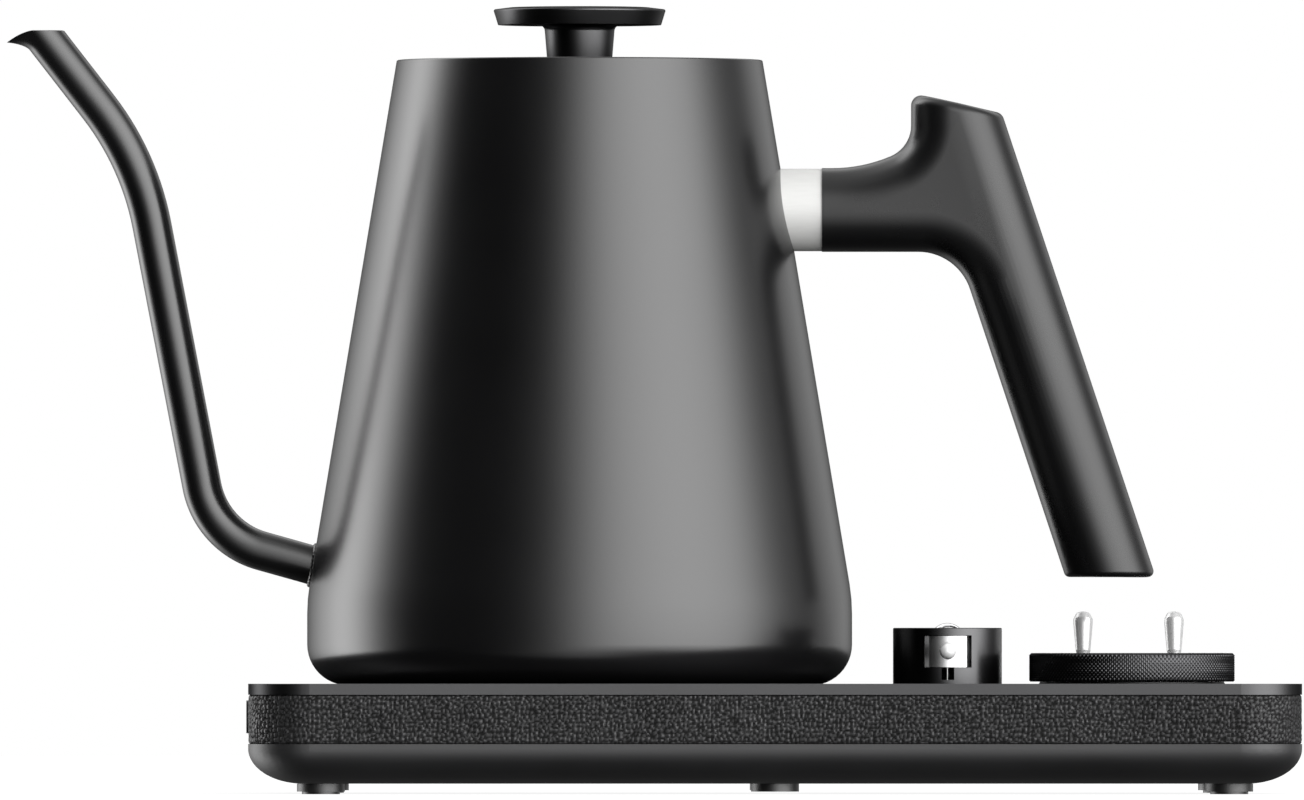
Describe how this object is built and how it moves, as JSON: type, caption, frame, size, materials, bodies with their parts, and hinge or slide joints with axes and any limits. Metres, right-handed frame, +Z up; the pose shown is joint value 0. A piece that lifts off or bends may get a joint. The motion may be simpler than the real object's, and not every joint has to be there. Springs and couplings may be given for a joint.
{
  "type": "gooseneck electric kettle",
  "caption": "Cone-shaped kettle with a gooseneck spout, a leaning handle and a lift-off lid, standing on a long powered base with a dial, toggles and a start drum.",
  "frame": {"origin": "on the table, under the middle of the whole object", "axes": "+X along the base towards the handle and the controls, the spout to -X; the front with the dial is -Y; +Z up"},
  "size_m": [0.3084, 0.144, 0.1881],
  "materials": {
    "matte_black": "matt black moulded plastic",
    "leatherette": "black pebbled leatherette",
    "black_metal": "satin black coated metal",
    "steel": "stainless steel",
    "rubber": "black rubber",
    "brass": "plain brass",
    "board_green": "green circuit board",
    "relay_blue": "blue relay case",
    "transformer_yellow": "yellow tape",
    "ribbon_grey": "grey flat cable",
    "lead_blue": "insulated wire",
    "chrome": "polished chrome",
    "lens": "diffusing lens",
    "aluminium": "cast aluminium",
    "satin_silver": "satin silver",
    "grip_black": "satin black moulding"
  },
  "bodies": {
    "base": {"base_tray": "matte_black", "leatherette_band": "leatherette", "top_plate": "black_metal", "tray_screws": "steel", "foot_front_left": "rubber", "foot_front_middle": "rubber", "foot_front_right": "rubber", "foot_rear_left": "rubber", "foot_rear_middle": "rubber", "foot_rear_right": "rubber", "coupler_tower": "matte_black", "coupler_contacts": "brass", "cord_bushing": "matte_black", "power_board": "board_green", "relay": "relay_blue", "transformer": "transformer_yellow", "control_board": "board_green", "board_screws": "steel", "ribbon_cable": "ribbon_grey", "coupler_leads": "lead_blue", "start_drum": "black_metal", "selector_switch": "matte_black", "button_spring": "steel", "start_switch": "matte_black", "dial_pedestal": "matte_black", "potentiometer": "steel", "potentiometer_nut": "chrome", "power_toggle_body": "chrome", "hold_toggle_body": "chrome", "toggle_nuts": "chrome", "indicator_lens": "lens"},
    "selector": {"selector_hub": "chrome", "selector_lever": "chrome"},
    "start_button": {"start_button": "chrome"},
    "dial": {"dial": "black_metal", "dial_spindle": "steel"},
    "power_lever": {"power_toggle_lever": "chrome"},
    "hold_lever": {"hold_toggle_lever": "chrome"},
    "kettle_socket": {"socket_housing": "matte_black", "socket_blades": "brass"},
    "kettle": {"kettle_body": "black_metal", "vessel_floor": "steel", "heater_plate": "aluminium", "heating_element": "steel", "thermostat": "brass", "temperature_probe": "steel", "probe_seal": "rubber", "kettle_underside": "matte_black", "underside_screws": "steel", "spout": "black_metal", "neck_ring": "satin_silver", "handle_grip": "grip_black", "handle_bracket": "steel", "handle_screws": "steel", "lid_seat_ring": "steel"},
    "lid": {"lid_cover": "black_metal", "lid_skirt": "steel", "lid_seal": "rubber", "lid_knob": "grip_black", "knob_screw": "steel"}
  },
  "joints": [
    {"name": "kettle_lift", "type": "slide", "parent": "base", "child": "kettle_socket", "axis": [0, 0, 1], "range_m": [0, 0.08]},
    {"name": "kettle_swivel", "type": "hinge", "parent": "kettle_socket", "child": "kettle", "pos_m": [-0.0173, 0, 0.03], "axis": [0, 0, 1], "continuous": true},
    {"name": "lid_lift", "type": "slide", "parent": "kettle", "child": "lid", "axis": [0, 0, 1], "range_m": [0, 0.07]},
    {"name": "dial_turn", "type": "hinge", "parent": "base", "child": "dial", "pos_m": [0.1142, -0.032, 0.03], "axis": [0, 0, 1], "range_deg": [-135, 135]},
    {"name": "selector_turn", "type": "hinge", "parent": "base", "child": "selector", "pos_m": [0.0703, -0.032, 0.034], "axis": [0, 0, 1], "range_deg": [-15, 15]},
    {"name": "start_button_press", "type": "slide", "parent": "base", "child": "start_button", "axis": [0, 0, -1], "range_m": [0, 0.001], "stiffness_N_per_m": 300, "springref_m": -0.001, "deforming": ["button_spring"]},
    {"name": "power_toggle_flip", "type": "hinge", "parent": "base", "child": "power_lever", "pos_m": [0.1033, 0.022, 0.028], "axis": [1, 0, 0], "range_deg": [0, 24]},
    {"name": "hold_toggle_flip", "type": "hinge", "parent": "base", "child": "hold_lever", "pos_m": [0.1251, 0.022, 0.028], "axis": [1, 0, 0], "range_deg": [0, 24]}
  ]
}
